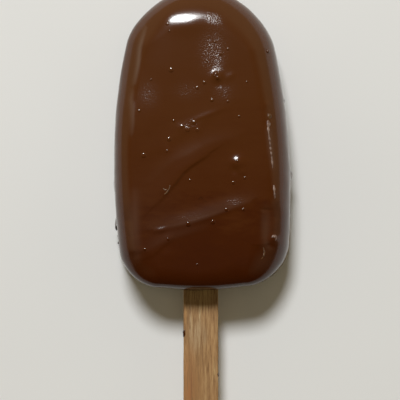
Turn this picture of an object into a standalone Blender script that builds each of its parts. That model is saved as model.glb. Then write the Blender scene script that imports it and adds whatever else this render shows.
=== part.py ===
"""Brownie pop: a moulded, chocolate-coated brownie bar on a flat wooden stick.

The bar lies on its flat back with the moulded face up. Metres, +Z up, +Y from the stick to the
bar's rounded tip. The origin is under the middle of the whole object, on the plane it rests on.
"""

import bpy
import bmesh
import numpy as np
from mathutils import Vector

MM = 0.001

# Overall layout, in millimetres
BAR_TIP = 43.6
BAR_END = -44.0
STICK_OUT = 55.0
STICK_IN = 59.0
STICK_WIDTH = 10.0
STICK_THICK = 2.0
STICK_HEIGHT = 10.5
STICK_EDGE = 0.35
POCKET_GAP = 0.3
BAR_SHIFT_X = -0.45
BAR_SHIFT_Y = 27.7

# Plan outline: each side is widest at its own station and narrows away from it
LEFT_WIDTH = 25.45
LEFT_WIDEST = -5.5
LEFT_CURVE_TIP = 86.5
LEFT_CURVE_END = 112.0
LEFT_ARCH_START = 26.7
LEFT_CORNER = 10.8
RIGHT_WIDTH = 26.2
RIGHT_WIDEST = -16.0
RIGHT_CURVE_TIP = 100.0
RIGHT_CURVE_END = 120.0
RIGHT_ARCH_START = 25.5
RIGHT_CORNER = 12.6
END_BULGE_LEFT = 0.6
END_BULGE_RIGHT = 1.0

# Section through the thickness
THICK_END = 24.5
THICK_TIP = 22.0
CROWN = 0.5
CROWN_TIP = 1.0
CROWN_TIP_START = 20.0
LEFT_ROLL_X = 8.0
LEFT_ROLL_Y = 14.0
LEFT_ROLL_LONG = 12.0
LEFT_ROLL_RADIUS = 45.0
BACK_EDGE_WIDTH = 3.0
FOOT_HEIGHT = 2.8
WALL_TOP = 16.0
WALL_TOP_TIP_DROP = 1.6
WALL_TOP_END_RISE = 4.5
WALL_TOP_RIGHT_DROP = 4.0
WALL_INSET = 0.8
WALL_INSET_TIP = 0.35
WALL_INSET_RIGHT = -0.35
WALL_INSET_CORNER = 0.2
SHOULDER = 6.4
SHOULDER_LEAN = 1.0
SHOULDER_TIP = 5.0
SHOULDER_END = -0.6
SHOULDER_CORNER_LEFT = 4.2
SHOULDER_CORNER_RIGHT = 5.0

# The face rolls over near the tip as a broad bend, flatter across than along
TIP_BEND_X = -5.0
TIP_BEND_Y = 33.3
TIP_BEND_START = 29.1
TIP_BEND_SLANT = 0.06
TIP_BEND_MIDDLE = -2.3
TIP_BEND_TOP = 23.1
TIP_BEND_RADIUS = 20.0
TIP_BEND_RADIUS_ACROSS = 85.0
TIP_BEND_WIDE = 7.0
TIP_BEND_LONG = 5.0

# A shallow facet steps down toward the right edge
STEP_X = 17.4
STEP_Y = -25.5
STEP_WIDTH = 1.3
STEP_LONG = 5.6
STEP_FADE = 3.2
STEP_DEPTH = 0.9

# Mesh counts
AROUND = 168
BACK_RINGS = 3
WALL_RINGS = 6
SHOULDER_RINGS = 8
FACE_RINGS = 20


def side_width(y, right):
    """Half width of one side before the tip arch and the end corner are taken off."""
    width = RIGHT_WIDTH if right else LEFT_WIDTH
    widest = RIGHT_WIDEST if right else LEFT_WIDEST
    curve_tip = RIGHT_CURVE_TIP if right else LEFT_CURVE_TIP
    curve_end = RIGHT_CURVE_END if right else LEFT_CURVE_END
    curve = np.where(y > widest, curve_tip, curve_end)
    return width * (1.0 - ((y - widest) / curve) ** 2)


def half_outline(right):
    """One half of the plan outline, from the tip to the middle of the stick end."""
    corner = RIGHT_CORNER if right else LEFT_CORNER
    bulge = END_BULGE_RIGHT if right else END_BULGE_LEFT
    arch_start = RIGHT_ARCH_START if right else LEFT_ARCH_START
    arch = np.linspace(0.0, np.pi / 2.0, 60)
    arch_y = arch_start + (BAR_TIP - arch_start) * np.cos(arch)
    arch_x = side_width(arch_y, right) * np.sin(arch)
    corner_y = BAR_END + bulge + corner
    side_y = np.linspace(arch_start, corner_y, 80)[1:]
    side_x = side_width(side_y, right)
    turn = np.linspace(0.0, np.pi / 2.0, 50)[1:]
    turn_y = corner_y - corner * np.sin(turn)
    turn_x = side_width(turn_y, right) - corner * (1.0 - np.cos(turn))
    flat_x = np.linspace(turn_x[-1], 0.0, 16)[1:]
    flat_y = turn_y[-1] - bulge * (1.0 - (flat_x / turn_x[-1]) ** 2)
    x = np.concatenate([arch_x, side_x, turn_x, flat_x])
    y = np.concatenate([arch_y, side_y, turn_y, flat_y])
    return (x if right else -x), y


def even_points(x, y, count):
    """The same line with its points evenly spaced along it."""
    along = np.concatenate([[0.0], np.cumsum(np.hypot(np.diff(x), np.diff(y)))])
    at = np.linspace(0.0, along[-1], count)
    return np.interp(at, along, x), np.interp(at, along, y)


def outline(count):
    """Closed plan outline, counter-clockwise from the tip, and its outward directions."""
    left_x, left_y = even_points(*half_outline(False), count // 2 + 1)
    right_x, right_y = even_points(*half_outline(True), count // 2 + 1)
    x = np.concatenate([left_x[:-1], right_x[::-1][:-1]])
    y = np.concatenate([left_y[:-1], right_y[::-1][:-1]])
    step_x = np.roll(x, -1) - np.roll(x, 1)
    step_y = np.roll(y, -1) - np.roll(y, 1)
    length = np.hypot(step_x, step_y)
    out_x, out_y = step_y / length, -step_x / length
    out_x = (out_x + np.roll(out_x, 1) + np.roll(out_x, -1)) / 3.0
    out_y = (out_y + np.roll(out_y, 1) + np.roll(out_y, -1)) / 3.0
    length = np.hypot(out_x, out_y)
    return x, y, out_x / length, out_y / length


def ridge(x, y, points, height, left, right):
    """A raised line, or a groove when the height is negative, that fades at its ends.

    left and right are the widths of its two flanks, seen along the line.
    """
    nearest = np.full_like(x, 1e9)
    value = np.zeros_like(x)
    total = len(points) - 1
    for number in range(total):
        ax, ay = points[number]
        bx, by = points[number + 1]
        length = (bx - ax) ** 2 + (by - ay) ** 2
        share = np.clip(((x - ax) * (bx - ax) + (y - ay) * (by - ay)) / length, 0.0, 1.0)
        gap_x = x - ax - share * (bx - ax)
        gap_y = y - ay - share * (by - ay)
        gap = np.hypot(gap_x, gap_y)
        side = (bx - ax) * gap_y - (by - ay) * gap_x
        width = np.where(side > 0.0, left, right)
        along = (number + share) / total
        fade = np.sin(np.pi * (0.12 + 0.76 * along))
        here = fade * np.exp(-((gap / width) ** 2))
        value = np.where(gap < nearest, here, value)
        nearest = np.minimum(nearest, gap)
    return height * value


def dome(x, y, at_x, at_y, height, width):
    """A soft lump, or a dent when the height is negative."""
    return height * np.exp(-(((x - at_x) ** 2 + (y - at_y) ** 2) / width**2))


def face_relief(x, y):
    """Flow lines, creases and lumps that the coating shows on the moulded face."""
    crease = [(-12.4, -19.0), (-7.2, -13.0), (-3.0, -8.5), (2.0, -5.2)]
    crease_tail = [(-2.5, -7.6), (0.8, -5.0), (5.6, -2.4), (10.2, -0.6)]
    long_fold = [(-12.8, -26.1), (-3.0, -24.1), (5.3, -21.3), (13.6, -18.2)]
    low_flow = [(-15.4, -31.8), (-12.6, -30.2), (-8.5, -28.2), (1.2, -25.3)]
    upper_flow = [(-18.4, -4.6), (-10.8, -3.2), (-3.0, 2.1), (1.2, 4.6), (7.6, 8.4)]
    middle_flow = [(-14.2, -12.4), (-8.0, -6.8), (-3.6, -4.9), (1.2, -2.1), (9.8, 0.1)]
    left_line = [(-15.1, 32.0), (-16.4, 26.9), (-17.5, 21.3), (-18.8, 15.0)]
    left_line_low = [(-18.9, 12.2), (-19.6, 6.7), (-19.0, 0.0)]
    right_line = [(18.7, 4.3), (18.9, 1.2), (19.5, -3.9), (20.1, -9.1)]
    low_left_fold = [(-16.6, -34.4), (-13.2, -32.9), (-10.6, -30.6), (-8.0, -28.4)]
    low_right_curl = [(17.4, -31.2), (17.8, -32.6), (16.6, -34.9)]
    rise = ridge(x, y, crease, 0.30, 4.2, 1.1)
    rise += ridge(x, y, crease_tail, 0.12, 2.6, 1.4)
    rise += ridge(x, y, long_fold, 0.30, 2.8, 1.3)
    rise += ridge(x, y, low_flow, 0.14, 2.4, 1.3)
    rise += ridge(x, y, upper_flow, 0.10, 3.0, 1.4)
    rise += ridge(x, y, middle_flow, 0.08, 3.2, 1.4)
    rise += ridge(x, y, left_line, 0.12, 1.2, 1.2)
    rise += ridge(x, y, left_line_low, 0.16, 1.2, 1.2)
    rise += ridge(x, y, right_line, 0.18, 1.2, 1.2)
    rise += ridge(x, y, low_left_fold, 0.16, 1.6, 1.1)
    rise += ridge(x, y, low_right_curl, 0.26, 1.1, 1.1)
    rise += dome(x, y, 4.5, 16.6, 0.42, 1.6)
    rise += dome(x, y, 7.6, 16.2, 0.20, 1.4)
    rise += dome(x, y, 10.4, -7.7, 0.50, 1.8)
    rise += dome(x, y, 9.3, -9.6, -0.20, 1.5)
    rise += dome(x, y, 20.7, -28.7, 0.40, 1.4)
    rise += dome(x, y, 19.4, -30.8, -0.20, 1.2)
    rise += dome(x, y, -9.4, -33.4, 0.15, 1.7)
    rise += dome(x, y, -17.2, -35.2, 0.22, 2.0)
    step = 0.5 + 0.5 * np.tanh((x - STEP_X) / STEP_WIDTH)
    along = np.exp(-(((y - STEP_Y) / STEP_LONG) ** 4))
    across = np.exp(-((np.maximum(x - STEP_X - STEP_WIDTH, 0.0) / STEP_FADE) ** 2))
    return rise - STEP_DEPTH * step * along * across


def face_height(x, y):
    """Height of the moulded face: it thins toward the tip, is slightly crowned and falls off left of it."""
    share = np.clip((y - BAR_END) / (BAR_TIP - BAR_END), 0.0, 1.0)
    thick = THICK_END + (THICK_TIP - THICK_END) * share
    tip = np.clip((y - CROWN_TIP_START) / (BAR_TIP - CROWN_TIP_START), 0.0, 1.0)
    roll = np.clip((y - LEFT_ROLL_Y) / LEFT_ROLL_LONG, 0.0, 1.0)
    roll = roll * roll * (3.0 - 2.0 * roll)
    fall = roll * np.maximum(-x - LEFT_ROLL_X, 0.0) ** 2 / (2.0 * LEFT_ROLL_RADIUS)
    crown = CROWN - (CROWN + CROWN_TIP * tip) * (x / LEFT_WIDTH) ** 2
    return thick + crown - fall + face_relief(x, y)


def tip_bend(x, y, height):
    """Heights of the upper surface with the broad bend at the tip blended in."""
    beside = x - TIP_BEND_MIDDLE
    beyond = np.maximum(y - TIP_BEND_START - TIP_BEND_SLANT * beside, 0.0)
    down = beyond**2 / (2.0 * TIP_BEND_RADIUS) + beside**2 / (2.0 * TIP_BEND_RADIUS_ACROSS)
    far = ((x - TIP_BEND_X) / TIP_BEND_WIDE) ** 2 + ((y - TIP_BEND_Y) / TIP_BEND_LONG) ** 2
    share = np.where(height > THICK_END / 2.0, np.exp(-(far**1.5)), 0.0)
    return height + share * (TIP_BEND_TOP - down - height)


def wall_relief(x, y, height):
    """Drips and lumps of coating that stand out from the wall."""
    lumps = [
        (-25.2, -24.5, 9.0, 0.80, 1.7),
        (-24.8, -30.0, 8.0, 0.50, 1.7),
        (-25.3, -13.6, 10.0, 0.30, 2.0),
        (26.0, -10.6, 12.0, 0.65, 1.7),
        (24.2, 10.6, 12.0, 0.35, 1.4),
        (6.6, -43.6, 8.0, 0.30, 1.8),
        (-10.5, -43.2, 7.0, 0.25, 2.0),
    ]
    out = np.zeros_like(x)
    for at_x, at_y, at_z, size, width in lumps:
        gap = (x - at_x) ** 2 + (y - at_y) ** 2 + (height - at_z) ** 2
        out += size * np.exp(-gap / width**2)
    return out


def bar_rings():
    """Rings of points from the flat back, up the wall and over the shoulder to the face."""
    x, y, out_x, out_y = outline(AROUND)
    toward_tip = np.clip(out_y, 0.0, 1.0) ** 2
    tip_turn = np.clip(out_y, 0.0, 1.0)
    toward_end = np.clip(-out_y, 0.0, 1.0) ** 2
    corner = 2.0 * np.clip(-out_y, 0.0, 1.0) * np.abs(out_x)
    toward_right = np.clip(out_x, 0.0, 1.0) ** 2
    right = out_x > 0.0
    wall_top = WALL_TOP - WALL_TOP_TIP_DROP * toward_tip + WALL_TOP_END_RISE * toward_end
    wall_top = wall_top - WALL_TOP_RIGHT_DROP * toward_right
    wall_inset = WALL_INSET + WALL_INSET_TIP * toward_tip
    wall_inset = wall_inset + WALL_INSET_CORNER * corner + WALL_INSET_RIGHT * toward_right
    shoulder = np.where(right, SHOULDER_CORNER_RIGHT, SHOULDER_CORNER_LEFT) * corner
    shoulder = shoulder + SHOULDER + SHOULDER_LEAN * out_x
    shoulder = shoulder + SHOULDER_TIP * tip_turn + SHOULDER_END * toward_end
    rings = []
    for number in range(BACK_RINGS):
        turn = np.pi / 2.0 * number / BACK_RINGS
        inward = BACK_EDGE_WIDTH * (1.0 - np.sin(turn))
        height = np.full_like(x, FOOT_HEIGHT * (1.0 - np.cos(turn)))
        rings.append((x - out_x * inward, y - out_y * inward, height))
    for number in range(WALL_RINGS):
        share = number / WALL_RINGS
        height = FOOT_HEIGHT + (wall_top - FOOT_HEIGHT) * share
        inward = wall_inset * share - wall_relief(x, y, height)
        rings.append((x - out_x * inward, y - out_y * inward, height))
    for number in range(SHOULDER_RINGS):
        turn = np.pi / 2.0 * number / (SHOULDER_RINGS - 1)
        inward = wall_inset + shoulder * (1.0 - np.cos(turn))
        at_x = x - out_x * inward
        at_y = y - out_y * inward
        rise = (face_height(at_x, at_y) - wall_top) * np.sin(turn)
        rings.append((at_x, at_y, wall_top + rise))
    rim_x, rim_y = rings[-1][0], rings[-1][1]
    spine_y = 0.55 * (rim_y + np.roll(rim_y[::-1], 1)) / 2.0
    for number in range(1, FACE_RINGS):
        share = number / (FACE_RINGS - 0.5)
        at_x = rim_x * (1.0 - share)
        at_y = rim_y * (1.0 - share) + spine_y * share
        rings.append((at_x, at_y, face_height(at_x, at_y)))
    return [(at_x, at_y, tip_bend(at_x, at_y, height)) for at_x, at_y, height in rings]


def bar_mesh(name):
    """The rings joined into one closed skin: a flat back below and a zipped face above."""
    bm = bmesh.new()
    loops = []
    for at_x, at_y, at_z in bar_rings():
        loop = [bm.verts.new(Vector(point) * MM) for point in zip(at_x, at_y, at_z)]
        loops.append(loop)
    for lower, upper in zip(loops, loops[1:]):
        for number in range(AROUND):
            after = (number + 1) % AROUND
            bm.faces.new((lower[number], lower[after], upper[after], upper[number]))
    bm.faces.new(loops[0][::-1])
    last = loops[-1]
    half = AROUND // 2
    bm.faces.new((last[0], last[1], last[-1]))
    for number in range(1, half - 1):
        mirror = AROUND - number
        bm.faces.new((last[number], last[number + 1], last[mirror - 1], last[mirror]))
    bm.faces.new((last[half - 1], last[half], last[half + 1]))
    bmesh.ops.recalc_face_normals(bm, faces=bm.faces)
    mesh = bpy.data.meshes.new(name)
    bm.to_mesh(mesh)
    bm.free()
    return mesh


def flat_stick(name, length, width, thick, edge):
    """A flat bar lying along Y with half-round ends and softened long edges."""
    bm = bmesh.new()
    bmesh.ops.create_cube(bm, size=1.0)
    bmesh.ops.scale(bm, vec=(width * MM, length * MM, thick * MM), verts=bm.verts)
    upright = [e for e in bm.edges if abs(e.verts[0].co.z - e.verts[1].co.z) > thick * MM / 2.0]
    bmesh.ops.bevel(
        bm,
        geom=upright,
        offset=width * MM * 0.49,
        segments=9,
        profile=0.5,
        affect="EDGES",
    )
    if edge > 0.0:
        rim = [e for e in bm.edges if len(e.link_faces) == 2 and e.calc_face_angle() > 1.2]
        bmesh.ops.bevel(
            bm,
            geom=rim,
            offset=edge * MM,
            segments=2,
            profile=0.5,
            affect="EDGES",
        )
    mesh = bpy.data.meshes.new(name)
    bm.to_mesh(mesh)
    bm.free()
    return mesh


def material(name, color, roughness):
    """A plain surface with the part's colour and roughness; nothing here is metal."""
    made = bpy.data.materials.new(name)
    made.use_nodes = True
    surface = made.node_tree.nodes["Principled BSDF"]
    surface.inputs["Base Color"].default_value = (*color, 1.0)
    surface.inputs["Roughness"].default_value = roughness
    surface.inputs["Metallic"].default_value = 0.0
    return made


def place(mesh, name, collection, at, parent=None):
    """Put a mesh in the scene as an object at a point given in millimetres."""
    made = bpy.data.objects.new(name, mesh)
    collection.objects.link(made)
    made.location = Vector(at) * MM
    made.parent = parent
    return made


def main():
    for old in list(bpy.data.objects):
        bpy.data.objects.remove(old, do_unlink=True)
    parts = bpy.data.collections.new("brownie_pop")
    cutters = bpy.data.collections.new("cutters")
    bpy.context.scene.collection.children.link(parts)
    bpy.context.scene.collection.children.link(cutters)

    # Everything hangs on one empty at the origin, under the middle of the object
    middle = bpy.data.objects.new("middle", None)
    parts.objects.link(middle)

    bar = place(
        bar_mesh("chocolate_bar"), "chocolate_bar", parts, (BAR_SHIFT_X, BAR_SHIFT_Y, 0.0), middle
    )
    bar.data.materials.append(material("chocolate", (0.085, 0.034, 0.014), 0.3))
    bar.data.shade_smooth()

    # The stick runs from inside the bar to its free end
    length = STICK_IN + STICK_OUT
    stick_mid = BAR_SHIFT_Y + BAR_END - STICK_OUT + length / 2.0
    at = (BAR_SHIFT_X, stick_mid, STICK_HEIGHT)
    stick = place(
        flat_stick("stick", length, STICK_WIDTH, STICK_THICK, STICK_EDGE), "stick", parts, at, middle
    )
    stick.data.materials.append(material("wood", (0.60, 0.40, 0.22), 0.6))
    stick.data.shade_smooth()
    stick.data.set_sharp_from_angle(angle=0.6)

    # A stick-shaped pocket, with a small gap all round, takes the stick inside the bar
    grow = 2.0 * POCKET_GAP
    cutter = place(
        flat_stick("pocket", length + grow, STICK_WIDTH + grow, STICK_THICK + grow, 0.0),
        "pocket",
        cutters,
        at,
        middle,
    )
    cutter.hide_render = True
    cutter.display_type = "WIRE"
    cut = bar.modifiers.new("pocket", "BOOLEAN")
    cut.operation = "DIFFERENCE"
    cut.solver = "EXACT"
    cut.object = cutter


main()
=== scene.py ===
"""Brownie pop: the fine surface of the chocolate bar and its stick, and the studio they lie in."""

import math

import bpy
import bmesh
import numpy as np
from mathutils import Matrix, Vector


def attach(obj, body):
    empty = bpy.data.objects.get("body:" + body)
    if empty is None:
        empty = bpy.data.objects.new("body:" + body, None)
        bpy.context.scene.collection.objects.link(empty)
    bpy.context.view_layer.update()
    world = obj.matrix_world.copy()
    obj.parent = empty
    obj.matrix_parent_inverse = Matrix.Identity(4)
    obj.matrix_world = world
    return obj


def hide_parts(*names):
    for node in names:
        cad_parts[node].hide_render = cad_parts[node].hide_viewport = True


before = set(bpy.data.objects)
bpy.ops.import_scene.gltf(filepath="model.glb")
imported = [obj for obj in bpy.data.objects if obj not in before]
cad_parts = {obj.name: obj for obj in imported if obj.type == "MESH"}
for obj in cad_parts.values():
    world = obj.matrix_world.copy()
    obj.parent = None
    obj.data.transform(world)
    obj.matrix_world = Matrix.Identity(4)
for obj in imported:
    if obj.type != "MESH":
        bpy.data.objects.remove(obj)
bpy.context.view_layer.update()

MM = 0.001

# Overall layout, in millimetres, in the bar's own plan with its middle at the origin
BAR_TIP = 43.6
BAR_END = -44.0
BAR_SHIFT_X = -0.45
BAR_SHIFT_Y = 27.7
STICK_OUT = 55.0
STICK_IN = 59.0
STICK_WIDTH = 10.0
STICK_THICK = 2.0
STICK_HEIGHT = 10.5
STICK_EDGE = 0.35
STICK_GRAIN = 0.022
STICK_ACROSS = 90
STICK_EDGE_STEPS = 5
STICK_ALONG = 230
STICK_END_STEPS = 16
STICK_END_START = 0.02
# Grain grooves in the stick: how much they are drawn out along it, their width and their seed
GRAIN_COARSE = (0.03, 1.3, 21)
GRAIN_FINE = (0.05, 0.6, 22)
GRAIN_FINE_SHARE = 0.7
GRAIN_FADE = 0.6
# The stick's long edges waver a little: how far, over what length, the seed, and how far from the
# stick's middle that starts and how soon it is full
WAVER = 0.05
WAVER_LENGTH = 9.0
WAVER_SEED = 23
WAVER_FROM = 3.5
WAVER_FADE = 1.5
# Specks of coating on the stick's long edges: where, then half the width, length and height
STICK_SPECKS = [(-4.75, -56.4, 11.1, 0.42, 1.35, 0.55), (4.95, -68.3, 11.1, 0.28, 0.7, 0.55)]
# Small drips that hang on the bar's walls, given the same way; their dark colour paints the shade
# and dark reflection of their rounded outer sides
WALL_DRIPS = [
    (-24.45, -25.5, 7.0, 0.48, 1.35, 2.2),
    (-24.0, -28.5, 6.0, 0.28, 0.75, 1.4),
    (-23.95, -30.4, 6.0, 0.26, 0.55, 1.2),
    (26.0, -11.0, 9.0, 0.36, 1.05, 1.6),
]
# Specks and drips are made uneven: over what length, how far across and along, and the seed
SPECK_SWELL_SIZE = 1.2
SPECK_SWELL = (0.08, 0.12)
SPECK_SEED = 37
# Subdivisions of the balls that the bubbles, specks and drips start as
BALL_DETAIL = 3

# Plan outline
LEFT_WIDTH = 25.45
LEFT_WIDEST = -5.5
LEFT_CURVE_TIP = 86.5
LEFT_CURVE_END = 112.0
LEFT_ARCH_START = 26.7
LEFT_CORNER = 10.8
RIGHT_WIDTH = 26.2
RIGHT_WIDEST = -16.0
RIGHT_CURVE_TIP = 100.0
RIGHT_CURVE_END = 120.0
RIGHT_ARCH_START = 25.5
RIGHT_CORNER = 12.6
END_BULGE_LEFT = 0.6
END_BULGE_RIGHT = 1.0
ARCH_STEPS = 300
SIDE_STEPS = 400
CORNER_STEPS = 200
FLAT_STEPS = 60
DIRECTION_PASSES = 6

# Section through the thickness
THICK_END = 24.5
THICK_TIP = 22.0
CROWN = 0.5
CROWN_TIP = 1.0
CROWN_TIP_START = 20.0
# The face falls away on the left of the tip
LEFT_ROLL_X = 8.0
LEFT_ROLL_Y = 0.0
LEFT_ROLL_LONG = 26.0
LEFT_ROLL_RADIUS = 45.0
# The face rolls over near the tip as a broad bend, flatter across than along
TIP_BEND_X = -5.0
TIP_BEND_Y = 33.3
TIP_BEND_START = 29.1
TIP_BEND_SLANT = 0.06
TIP_BEND_MIDDLE = -2.3
TIP_BEND_TOP = 23.1
TIP_BEND_RADIUS = 20.0
TIP_BEND_RADIUS_ACROSS = 85.0
TIP_BEND_WIDE = 7.0
TIP_BEND_LONG = 5.0
# The rounded edge of the back, the wall and the shoulder, and how each changes round the outline
BACK_EDGE_WIDTH = 3.0
FOOT_HEIGHT = 2.8
WALL_TOP = 16.0
WALL_TOP_TIP_DROP = 1.6
WALL_TOP_END_RISE = 4.5
WALL_TOP_RIGHT_DROP = 4.0
WALL_INSET = 0.8
WALL_INSET_TIP = 0.35
WALL_INSET_RIGHT = -0.35
WALL_INSET_CORNER = 0.2
SHOULDER = 6.4
SHOULDER_LEAN = 1.0
SHOULDER_TIP = 5.0
SHOULDER_END = -0.6
SHOULDER_CORNER_LEFT = 4.2
SHOULDER_CORNER_RIGHT = 5.0
# The rings of the face close on a middle line that is this share as long as the outline
FACE_SPINE = 0.55
# The lip round the stick: how high, how wide, and how far from the stick end it is looked for
COLLAR_HEIGHT = 0.35
COLLAR_WIDTH = 0.8
COLLAR_REACH = 6.0
# Uneven swell of the whole bar and of its wall: how high, how long and the seed
BAR_SWELLS = [(0.05, 22.0, 3), (0.016, 7.0, 5)]
WALL_SWELL = (0.05, 5.0, 8)
SWELL_START = 4.0
WAVE_COUNT = 9
WAVE_LEVEL = 4.0

# Mesh counts
AROUND = 700
BACK_RINGS = 4
WALL_RINGS = 16
SHOULDER_RINGS = 24
FACE_RINGS = 84


def side_width(y, right):
    """Half width of one side before the tip arch and the end corner are taken off."""
    width = RIGHT_WIDTH if right else LEFT_WIDTH
    widest = RIGHT_WIDEST if right else LEFT_WIDEST
    curve_tip = RIGHT_CURVE_TIP if right else LEFT_CURVE_TIP
    curve_end = RIGHT_CURVE_END if right else LEFT_CURVE_END
    curve = np.where(y > widest, curve_tip, curve_end)
    return width * (1.0 - ((y - widest) / curve) ** 2)


def half_outline(right):
    """One half of the plan outline, from the tip to the middle of the stick end."""
    corner = RIGHT_CORNER if right else LEFT_CORNER
    bulge = END_BULGE_RIGHT if right else END_BULGE_LEFT
    arch_start = RIGHT_ARCH_START if right else LEFT_ARCH_START
    arch = np.linspace(0.0, np.pi / 2.0, ARCH_STEPS)
    arch_y = arch_start + (BAR_TIP - arch_start) * np.cos(arch)
    arch_x = side_width(arch_y, right) * np.sin(arch)
    corner_y = BAR_END + bulge + corner
    side_y = np.linspace(arch_start, corner_y, SIDE_STEPS)[1:]
    side_x = side_width(side_y, right)
    turn = np.linspace(0.0, np.pi / 2.0, CORNER_STEPS)[1:]
    turn_y = corner_y - corner * np.sin(turn)
    turn_x = side_width(turn_y, right) - corner * (1.0 - np.cos(turn))
    flat_x = np.linspace(turn_x[-1], 0.0, FLAT_STEPS)[1:]
    flat_y = turn_y[-1] - bulge * (1.0 - (flat_x / turn_x[-1]) ** 2)
    x = np.concatenate([arch_x, side_x, turn_x, flat_x])
    y = np.concatenate([arch_y, side_y, turn_y, flat_y])
    return (x if right else -x), y


def even_points(x, y, count):
    """The same line with its points evenly spaced along it."""
    along = np.concatenate([[0.0], np.cumsum(np.hypot(np.diff(x), np.diff(y)))])
    at = np.linspace(0.0, along[-1], count)
    return np.interp(at, along, x), np.interp(at, along, y)


def outline(count):
    """Closed plan outline, counter-clockwise from the tip, and its outward directions."""
    left_x, left_y = even_points(*half_outline(False), count // 2 + 1)
    right_x, right_y = even_points(*half_outline(True), count // 2 + 1)
    x = np.concatenate([left_x[:-1], right_x[::-1][:-1]])
    y = np.concatenate([left_y[:-1], right_y[::-1][:-1]])
    step_x = np.roll(x, -1) - np.roll(x, 1)
    step_y = np.roll(y, -1) - np.roll(y, 1)
    length = np.hypot(step_x, step_y)
    out_x, out_y = step_y / length, -step_x / length
    for _ in range(DIRECTION_PASSES):
        out_x = (out_x + np.roll(out_x, 1) + np.roll(out_x, -1)) / 3.0
        out_y = (out_y + np.roll(out_y, 1) + np.roll(out_y, -1)) / 3.0
    length = np.hypot(out_x, out_y)
    return x, y, out_x / length, out_y / length


def waves(x, y, z, size, seed):
    """Smooth uneven swell between about -1 and 1, with bumps of the given size in millimetres."""
    draw = np.random.RandomState(seed)
    total = np.zeros_like(x)
    for _ in range(WAVE_COUNT):
        way = draw.normal(size=3)
        way = way / np.linalg.norm(way) * (2.0 * np.pi / size) * draw.uniform(0.6, 1.3)
        total += np.sin(way[0] * x + way[1] * y + way[2] * z + draw.uniform(0.0, 2.0 * np.pi))
    return total / WAVE_LEVEL


def ridge(x, y, points, height, left, right, ends=0.12):
    """A raised line, or a groove when the height is negative.

    left and right are the widths of its two flanks, seen along the line, and it fades at its ends.
    """
    nearest = np.full_like(x, 1e9)
    value = np.zeros_like(x)
    total = len(points) - 1
    for number in range(total):
        ax, ay = points[number]
        bx, by = points[number + 1]
        length = (bx - ax) ** 2 + (by - ay) ** 2
        share = np.clip(((x - ax) * (bx - ax) + (y - ay) * (by - ay)) / length, 0.0, 1.0)
        gap_x = x - ax - share * (bx - ax)
        gap_y = y - ay - share * (by - ay)
        gap = np.hypot(gap_x, gap_y)
        side = (bx - ax) * gap_y - (by - ay) * gap_x
        width = np.where(side > 0.0, left, right)
        along = (number + share) / total
        fade = np.sin(np.pi * (ends + (1.0 - 2.0 * ends) * along))
        here = fade * np.exp(-((gap / width) ** 2))
        value = np.where(gap < nearest, here, value)
        nearest = np.minimum(nearest, gap)
    return height * value


def dome(x, y, at_x, at_y, height, width):
    """A soft lump, or a dent when the height is negative."""
    return height * np.exp(-(((x - at_x) ** 2 + (y - at_y) ** 2) / width**2))


# Lines on the face, as points of the plan in millimetres
CREASE = [
    *((-12.4, -19.0), (-10.0, -16.3), (-7.2, -13.0), (-5.0, -10.2)),
    *((-3.0, -8.5), (-0.2, -6.6), (2.0, -5.2)),
]
CREASE_TAIL = [(-2.5, -7.6), (0.8, -5.0), (5.6, -2.4), (10.2, -0.6)]
WRINKLE = [(-10.3, -16.5), (-9.5, -15.9), (-8.9, -15.0), (-8.55, -13.8)]
WRINKLE_LOW = [(-10.6, -14.7), (-10.0, -15.2), (-9.3, -15.0)]
LONG_FOLD = [
    *((-12.8, -26.1), (-7.2, -25.1), (-3.0, -24.1), (1.2, -22.8)),
    *((5.3, -21.3), (9.5, -19.7), (13.6, -18.2)),
]
LONG_FOLD_SHINE = [(-12.9, -26.5), (-11.2, -26.5), (-9.6, -26.1)]
LOW_FLOW = [(-15.4, -31.8), (-12.6, -30.2), (-8.5, -28.2), (-3.5, -26.6), (1.2, -25.3)]
UPPER_FLOW = [
    *((-18.4, -4.6), (-14.2, -4.3), (-10.8, -3.2), (-7.2, -0.2)),
    *((-3.0, 2.1), (1.2, 4.6), (4.8, 7.4), (7.6, 8.4)),
]
MIDDLE_FLOW = [
    *((-14.2, -12.4), (-11.4, -9.6), (-8.0, -6.8), (-3.6, -4.9)),
    *((1.2, -2.1), (5.9, -0.7), (9.8, 0.1)),
]
HIGH_FLOW = [(-3.0, 3.8), (1.2, 5.4), (5.9, 7.2)]
LEFT_LINE = [
    *((-15.4, 30.5), (-16.2, 27.7), (-17.0, 24.6), (-17.2, 21.8)),
    *((-17.5, 19.3), (-18.0, 16.8), (-18.5, 14.7)),
]
LEFT_LINE_LOW = [(-19.0, 12.4), (-19.3, 10.0), (-18.9, 7.0), (-18.9, 3.8), (-19.2, 0.7)]
LEFT_BAND = [(-18.4, -16.0), (-18.5, -22.0), (-18.4, -28.0), (-17.6, -33.5)]
RIGHT_LINE = [(18.9, 2.3), (18.9, 1.2), (19.2, -1.2), (19.5, -3.9), (19.9, -6.7), (20.1, -9.1)]
RIGHT_LINE_TOP = [(18.7, 4.3), (19.0, 3.2), (18.8, 1.9), (19.1, 1.0)]
RIGHT_LINE_END = [(18.8, 6.2), (19.3, 5.6), (19.2, 4.7)]
RIGHT_LINE_LOW = [(20.4, -13.8), (20.6, -16.0), (20.7, -17.8)]
LOW_LEFT_FOLD = [(-16.6, -34.4), (-13.2, -32.9), (-10.6, -30.6), (-8.0, -28.4)]
LOW_RIGHT_CURL = [(17.4, -31.2), (17.8, -32.6), (17.5, -33.7), (16.6, -34.9)]
RIGHT_BUMP = [(19.8, -28.5), (20.3, -28.1), (20.9, -28.2), (21.1, -28.9), (20.8, -29.5)]
LOW_RIGHT_DENT = [(16.9, -20.7), (19.2, -20.9)]
RIGHT_FACET = [(18.4, -19.5), (18.4, -23.0), (18.3, -27.0), (17.9, -30.5)]

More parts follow.
